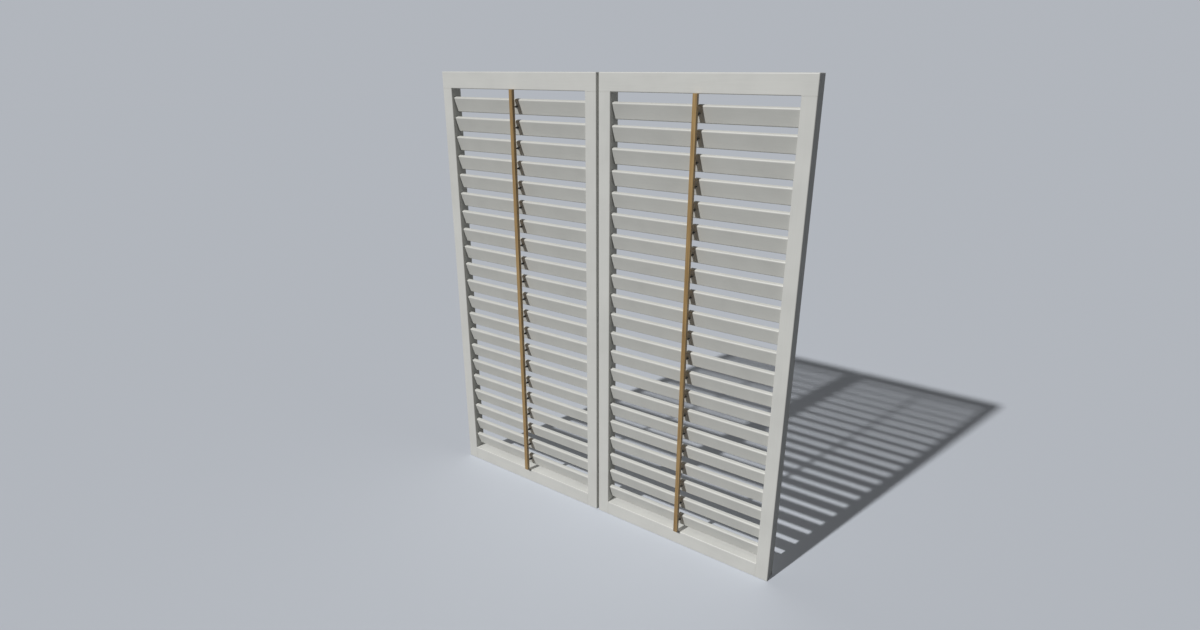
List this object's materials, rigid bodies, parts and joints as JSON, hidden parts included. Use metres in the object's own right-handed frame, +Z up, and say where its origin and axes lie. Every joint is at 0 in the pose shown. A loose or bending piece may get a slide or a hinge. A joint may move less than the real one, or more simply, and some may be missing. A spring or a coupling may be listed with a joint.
{
  "type": "louvred shutters",
  "caption": "Painted timber louvred shutters: framed leaves of tilting slats, each leaf's slats moved together by a rod at the front, hinged side by side to fold back to back.",
  "frame": {"origin": "bottom of the leaves, at the middle of the width and of the depth from rods to hinges", "axes": "+X to the right seen from the front, +Y from the front to the back, +Z up"},
  "size_m": [1.2, 0.0635, 1.39],
  "materials": {
    "frame_paint": "off-white satin paint",
    "slat_paint": "off-white satin paint",
    "rod_wood": "clear varnish",
    "link_steel": "dark oiled",
    "hinge_steel": "zinc plated"
  },
  "bodies": {
    "left_leaf": {"left_outer_stile": "frame_paint", "left_inner_stile": "frame_paint", "left_top_rail": "frame_paint", "left_bottom_rail": "frame_paint", "hinge_plates_left": "hinge_steel", "hinge_screws_left": "hinge_steel", "hinge_pins": "hinge_steel"},
    "right_leaf": {"right_outer_stile": "frame_paint", "right_inner_stile": "frame_paint", "right_top_rail": "frame_paint", "right_bottom_rail": "frame_paint", "hinge_plates_right": "hinge_steel", "hinge_screws_right": "hinge_steel"},
    "left_slat_11": {"left_slat_11": "slat_paint"},
    "left_slat_01": {"left_slat_01": "slat_paint"},
    "left_slat_02": {"left_slat_02": "slat_paint"},
    "left_slat_03": {"left_slat_03": "slat_paint"},
    "left_slat_04": {"left_slat_04": "slat_paint"},
    "left_slat_05": {"left_slat_05": "slat_paint"},
    "left_slat_06": {"left_slat_06": "slat_paint"},
    "left_slat_07": {"left_slat_07": "slat_paint"},
    "left_slat_08": {"left_slat_08": "slat_paint"},
    "left_slat_09": {"left_slat_09": "slat_paint"},
    "left_slat_10": {"left_slat_10": "slat_paint"},
    "left_slat_12": {"left_slat_12": "slat_paint"},
    "left_slat_13": {"left_slat_13": "slat_paint"},
    "left_slat_14": {"left_slat_14": "slat_paint"},
    "left_slat_15": {"left_slat_15": "slat_paint"},
    "left_slat_16": {"left_slat_16": "slat_paint"},
    "left_slat_17": {"left_slat_17": "slat_paint"},
    "left_slat_18": {"left_slat_18": "slat_paint"},
    "left_slat_19": {"left_slat_19": "slat_paint"},
    "left_slat_20": {"left_slat_20": "slat_paint"},
    "left_slat_21": {"left_slat_21": "slat_paint"},
    "left_rod": {"left_tilt_rod": "rod_wood", "left_rod_eyes": "link_steel"},
    "right_slat_11": {"right_slat_11": "slat_paint"},
    "right_slat_01": {"right_slat_01": "slat_paint"},
    "right_slat_02": {"right_slat_02": "slat_paint"},
    "right_slat_03": {"right_slat_03": "slat_paint"},
    "right_slat_04": {"right_slat_04": "slat_paint"},
    "right_slat_05": {"right_slat_05": "slat_paint"},
    "right_slat_06": {"right_slat_06": "slat_paint"},
    "right_slat_07": {"right_slat_07": "slat_paint"},
    "right_slat_08": {"right_slat_08": "slat_paint"},
    "right_slat_09": {"right_slat_09": "slat_paint"},
    "right_slat_10": {"right_slat_10": "slat_paint"},
    "right_slat_12": {"right_slat_12": "slat_paint"},
    "right_slat_13": {"right_slat_13": "slat_paint"},
    "right_slat_14": {"right_slat_14": "slat_paint"},
    "right_slat_15": {"right_slat_15": "slat_paint"},
    "right_slat_16": {"right_slat_16": "slat_paint"},
    "right_slat_17": {"right_slat_17": "slat_paint"},
    "right_slat_18": {"right_slat_18": "slat_paint"},
    "right_slat_19": {"right_slat_19": "slat_paint"},
    "right_slat_20": {"right_slat_20": "slat_paint"},
    "right_slat_21": {"right_slat_21": "slat_paint"},
    "right_rod": {"right_tilt_rod": "rod_wood", "right_rod_eyes": "link_steel"}
  },
  "joints": [
    {"name": "fold", "type": "hinge", "parent": "left_leaf", "child": "right_leaf", "pos_m": [0, 0.02755, 0.695], "axis": [0, 0, 1], "range_deg": [0, 180]},
    {"name": "left_louvre_tilt", "type": "hinge", "parent": "left_leaf", "child": "left_slat_11", "pos_m": [-0.302, 0.00285, 0.6875], "axis": [1, 0, 0], "range_deg": [-33, 32]},
    {"name": "left_slat_01_tilt", "type": "hinge", "parent": "left_leaf", "child": "left_slat_01", "pos_m": [-0.302, 0.00285, 1.292], "axis": [1, 0, 0], "range_deg": [-33, 32]},
    {"name": "left_slat_02_tilt", "type": "hinge", "parent": "left_leaf", "child": "left_slat_02", "pos_m": [-0.302, 0.00285, 1.23155], "axis": [1, 0, 0], "range_deg": [-33, 32]},
    {"name": "left_slat_03_tilt", "type": "hinge", "parent": "left_leaf", "child": "left_slat_03", "pos_m": [-0.302, 0.00285, 1.1711], "axis": [1, 0, 0], "range_deg": [-33, 32]},
    {"name": "left_slat_04_tilt", "type": "hinge", "parent": "left_leaf", "child": "left_slat_04", "pos_m": [-0.302, 0.00285, 1.11065], "axis": [1, 0, 0], "range_deg": [-33, 32]},
    {"name": "left_slat_05_tilt", "type": "hinge", "parent": "left_leaf", "child": "left_slat_05", "pos_m": [-0.302, 0.00285, 1.0502], "axis": [1, 0, 0], "range_deg": [-33, 32]},
    {"name": "left_slat_06_tilt", "type": "hinge", "parent": "left_leaf", "child": "left_slat_06", "pos_m": [-0.302, 0.00285, 0.98975], "axis": [1, 0, 0], "range_deg": [-33, 32]},
    {"name": "left_slat_07_tilt", "type": "hinge", "parent": "left_leaf", "child": "left_slat_07", "pos_m": [-0.302, 0.00285, 0.9293], "axis": [1, 0, 0], "range_deg": [-33, 32]},
    {"name": "left_slat_08_tilt", "type": "hinge", "parent": "left_leaf", "child": "left_slat_08", "pos_m": [-0.302, 0.00285, 0.86885], "axis": [1, 0, 0], "range_deg": [-33, 32]},
    {"name": "left_slat_09_tilt", "type": "hinge", "parent": "left_leaf", "child": "left_slat_09", "pos_m": [-0.302, 0.00285, 0.8084], "axis": [1, 0, 0], "range_deg": [-33, 32]},
    {"name": "left_slat_10_tilt", "type": "hinge", "parent": "left_leaf", "child": "left_slat_10", "pos_m": [-0.302, 0.00285, 0.74795], "axis": [1, 0, 0], "range_deg": [-33, 32]},
    {"name": "left_slat_12_tilt", "type": "hinge", "parent": "left_leaf", "child": "left_slat_12", "pos_m": [-0.302, 0.00285, 0.62705], "axis": [1, 0, 0], "range_deg": [-33, 32]},
    {"name": "left_slat_13_tilt", "type": "hinge", "parent": "left_leaf", "child": "left_slat_13", "pos_m": [-0.302, 0.00285, 0.5666], "axis": [1, 0, 0], "range_deg": [-33, 32]},
    {"name": "left_slat_14_tilt", "type": "hinge", "parent": "left_leaf", "child": "left_slat_14", "pos_m": [-0.302, 0.00285, 0.50615], "axis": [1, 0, 0], "range_deg": [-33, 32]},
    {"name": "left_slat_15_tilt", "type": "hinge", "parent": "left_leaf", "child": "left_slat_15", "pos_m": [-0.302, 0.00285, 0.4457], "axis": [1, 0, 0], "range_deg": [-33, 32]},
    {"name": "left_slat_16_tilt", "type": "hinge", "parent": "left_leaf", "child": "left_slat_16", "pos_m": [-0.302, 0.00285, 0.38525], "axis": [1, 0, 0], "range_deg": [-33, 32]},
    {"name": "left_slat_17_tilt", "type": "hinge", "parent": "left_leaf", "child": "left_slat_17", "pos_m": [-0.302, 0.00285, 0.3248], "axis": [1, 0, 0], "range_deg": [-33, 32]},
    {"name": "left_slat_18_tilt", "type": "hinge", "parent": "left_leaf", "child": "left_slat_18", "pos_m": [-0.302, 0.00285, 0.26435], "axis": [1, 0, 0], "range_deg": [-33, 32]},
    {"name": "left_slat_19_tilt", "type": "hinge", "parent": "left_leaf", "child": "left_slat_19", "pos_m": [-0.302, 0.00285, 0.2039], "axis": [1, 0, 0], "range_deg": [-33, 32]},
    {"name": "left_slat_20_tilt", "type": "hinge", "parent": "left_leaf", "child": "left_slat_20", "pos_m": [-0.302, 0.00285, 0.14345], "axis": [1, 0, 0], "range_deg": [-33, 32]},
    {"name": "left_slat_21_tilt", "type": "hinge", "parent": "left_leaf", "child": "left_slat_21", "pos_m": [-0.302, 0.00285, 0.083], "axis": [1, 0, 0], "range_deg": [-33, 32]},
    {"name": "left_rod_link", "type": "hinge", "parent": "left_slat_11", "child": "left_rod", "pos_m": [-0.302, -0.00788, 0.6875], "axis": [1, 0, 0], "range_deg": [-32, 33]},
    {"name": "right_louvre_tilt", "type": "hinge", "parent": "right_leaf", "child": "right_slat_11", "pos_m": [0.302, 0.00285, 0.6875], "axis": [1, 0, 0], "range_deg": [-33, 32]},
    {"name": "right_slat_01_tilt", "type": "hinge", "parent": "right_leaf", "child": "right_slat_01", "pos_m": [0.302, 0.00285, 1.292], "axis": [1, 0, 0], "range_deg": [-33, 32]},
    {"name": "right_slat_02_tilt", "type": "hinge", "parent": "right_leaf", "child": "right_slat_02", "pos_m": [0.302, 0.00285, 1.23155], "axis": [1, 0, 0], "range_deg": [-33, 32]},
    {"name": "right_slat_03_tilt", "type": "hinge", "parent": "right_leaf", "child": "right_slat_03", "pos_m": [0.302, 0.00285, 1.1711], "axis": [1, 0, 0], "range_deg": [-33, 32]},
    {"name": "right_slat_04_tilt", "type": "hinge", "parent": "right_leaf", "child": "right_slat_04", "pos_m": [0.302, 0.00285, 1.11065], "axis": [1, 0, 0], "range_deg": [-33, 32]},
    {"name": "right_slat_05_tilt", "type": "hinge", "parent": "right_leaf", "child": "right_slat_05", "pos_m": [0.302, 0.00285, 1.0502], "axis": [1, 0, 0], "range_deg": [-33, 32]},
    {"name": "right_slat_06_tilt", "type": "hinge", "parent": "right_leaf", "child": "right_slat_06", "pos_m": [0.302, 0.00285, 0.98975], "axis": [1, 0, 0], "range_deg": [-33, 32]},
    {"name": "right_slat_07_tilt", "type": "hinge", "parent": "right_leaf", "child": "right_slat_07", "pos_m": [0.302, 0.00285, 0.9293], "axis": [1, 0, 0], "range_deg": [-33, 32]},
    {"name": "right_slat_08_tilt", "type": "hinge", "parent": "right_leaf", "child": "right_slat_08", "pos_m": [0.302, 0.00285, 0.86885], "axis": [1, 0, 0], "range_deg": [-33, 32]},
    {"name": "right_slat_09_tilt", "type": "hinge", "parent": "right_leaf", "child": "right_slat_09", "pos_m": [0.302, 0.00285, 0.8084], "axis": [1, 0, 0], "range_deg": [-33, 32]},
    {"name": "right_slat_10_tilt", "type": "hinge", "parent": "right_leaf", "child": "right_slat_10", "pos_m": [0.302, 0.00285, 0.74795], "axis": [1, 0, 0], "range_deg": [-33, 32]},
    {"name": "right_slat_12_tilt", "type": "hinge", "parent": "right_leaf", "child": "right_slat_12", "pos_m": [0.302, 0.00285, 0.62705], "axis": [1, 0, 0], "range_deg": [-33, 32]},
    {"name": "right_slat_13_tilt", "type": "hinge", "parent": "right_leaf", "child": "right_slat_13", "pos_m": [0.302, 0.00285, 0.5666], "axis": [1, 0, 0], "range_deg": [-33, 32]},
    {"name": "right_slat_14_tilt", "type": "hinge", "parent": "right_leaf", "child": "right_slat_14", "pos_m": [0.302, 0.00285, 0.50615], "axis": [1, 0, 0], "range_deg": [-33, 32]},
    {"name": "right_slat_15_tilt", "type": "hinge", "parent": "right_leaf", "child": "right_slat_15", "pos_m": [0.302, 0.00285, 0.4457], "axis": [1, 0, 0], "range_deg": [-33, 32]},
    {"name": "right_slat_16_tilt", "type": "hinge", "parent": "right_leaf", "child": "right_slat_16", "pos_m": [0.302, 0.00285, 0.38525], "axis": [1, 0, 0], "range_deg": [-33, 32]},
    {"name": "right_slat_17_tilt", "type": "hinge", "parent": "right_leaf", "child": "right_slat_17", "pos_m": [0.302, 0.00285, 0.3248], "axis": [1, 0, 0], "range_deg": [-33, 32]},
    {"name": "right_slat_18_tilt", "type": "hinge", "parent": "right_leaf", "child": "right_slat_18", "pos_m": [0.302, 0.00285, 0.26435], "axis": [1, 0, 0], "range_deg": [-33, 32]},
    {"name": "right_slat_19_tilt", "type": "hinge", "parent": "right_leaf", "child": "right_slat_19", "pos_m": [0.302, 0.00285, 0.2039], "axis": [1, 0, 0], "range_deg": [-33, 32]},
    {"name": "right_slat_20_tilt", "type": "hinge", "parent": "right_leaf", "child": "right_slat_20", "pos_m": [0.302, 0.00285, 0.14345], "axis": [1, 0, 0], "range_deg": [-33, 32]},
    {"name": "right_slat_21_tilt", "type": "hinge", "parent": "right_leaf", "child": "right_slat_21", "pos_m": [0.302, 0.00285, 0.083], "axis": [1, 0, 0], "range_deg": [-33, 32]},
    {"name": "right_rod_link", "type": "hinge", "parent": "right_slat_11", "child": "right_rod", "pos_m": [0.302, -0.00788, 0.6875], "axis": [1, 0, 0], "range_deg": [-32, 33]}
  ],
  "couplings": [
    {"joint": "left_slat_01_tilt", "follows": "left_louvre_tilt", "ratio": 1},
    {"joint": "left_slat_02_tilt", "follows": "left_louvre_tilt", "ratio": 1},
    {"joint": "left_slat_03_tilt", "follows": "left_louvre_tilt", "ratio": 1},
    {"joint": "left_slat_04_tilt", "follows": "left_louvre_tilt", "ratio": 1},
    {"joint": "left_slat_05_tilt", "follows": "left_louvre_tilt", "ratio": 1},
    {"joint": "left_slat_06_tilt", "follows": "left_louvre_tilt", "ratio": 1},
    {"joint": "left_slat_07_tilt", "follows": "left_louvre_tilt", "ratio": 1},
    {"joint": "left_slat_08_tilt", "follows": "left_louvre_tilt", "ratio": 1},
    {"joint": "left_slat_09_tilt", "follows": "left_louvre_tilt", "ratio": 1},
    {"joint": "left_slat_10_tilt", "follows": "left_louvre_tilt", "ratio": 1},
    {"joint": "left_slat_12_tilt", "follows": "left_louvre_tilt", "ratio": 1},
    {"joint": "left_slat_13_tilt", "follows": "left_louvre_tilt", "ratio": 1},
    {"joint": "left_slat_14_tilt", "follows": "left_louvre_tilt", "ratio": 1},
    {"joint": "left_slat_15_tilt", "follows": "left_louvre_tilt", "ratio": 1},
    {"joint": "left_slat_16_tilt", "follows": "left_louvre_tilt", "ratio": 1},
    {"joint": "left_slat_17_tilt", "follows": "left_louvre_tilt", "ratio": 1},
    {"joint": "left_slat_18_tilt", "follows": "left_louvre_tilt", "ratio": 1},
    {"joint": "left_slat_19_tilt", "follows": "left_louvre_tilt", "ratio": 1},
    {"joint": "left_slat_20_tilt", "follows": "left_louvre_tilt", "ratio": 1},
    {"joint": "left_slat_21_tilt", "follows": "left_louvre_tilt", "ratio": 1},
    {"joint": "left_rod_link", "follows": "left_louvre_tilt", "ratio": -1},
    {"joint": "right_slat_01_tilt", "follows": "right_louvre_tilt", "ratio": 1},
    {"joint": "right_slat_02_tilt", "follows": "right_louvre_tilt", "ratio": 1},
    {"joint": "right_slat_03_tilt", "follows": "right_louvre_tilt", "ratio": 1},
    {"joint": "right_slat_04_tilt", "follows": "right_louvre_tilt", "ratio": 1},
    {"joint": "right_slat_05_tilt", "follows": "right_louvre_tilt", "ratio": 1},
    {"joint": "right_slat_06_tilt", "follows": "right_louvre_tilt", "ratio": 1},
    {"joint": "right_slat_07_tilt", "follows": "right_louvre_tilt", "ratio": 1},
    {"joint": "right_slat_08_tilt", "follows": "right_louvre_tilt", "ratio": 1},
    {"joint": "right_slat_09_tilt", "follows": "right_louvre_tilt", "ratio": 1},
    {"joint": "right_slat_10_tilt", "follows": "right_louvre_tilt", "ratio": 1},
    {"joint": "right_slat_12_tilt", "follows": "right_louvre_tilt", "ratio": 1},
    {"joint": "right_slat_13_tilt", "follows": "right_louvre_tilt", "ratio": 1},
    {"joint": "right_slat_14_tilt", "follows": "right_louvre_tilt", "ratio": 1},
    {"joint": "right_slat_15_tilt", "follows": "right_louvre_tilt", "ratio": 1},
    {"joint": "right_slat_16_tilt", "follows": "right_louvre_tilt", "ratio": 1},
    {"joint": "right_slat_17_tilt", "follows": "right_louvre_tilt", "ratio": 1},
    {"joint": "right_slat_18_tilt", "follows": "right_louvre_tilt", "ratio": 1},
    {"joint": "right_slat_19_tilt", "follows": "right_louvre_tilt", "ratio": 1},
    {"joint": "right_slat_20_tilt", "follows": "right_louvre_tilt", "ratio": 1},
    {"joint": "right_slat_21_tilt", "follows": "right_louvre_tilt", "ratio": 1},
    {"joint": "right_rod_link", "follows": "right_louvre_tilt", "ratio": -1}
  ]
}
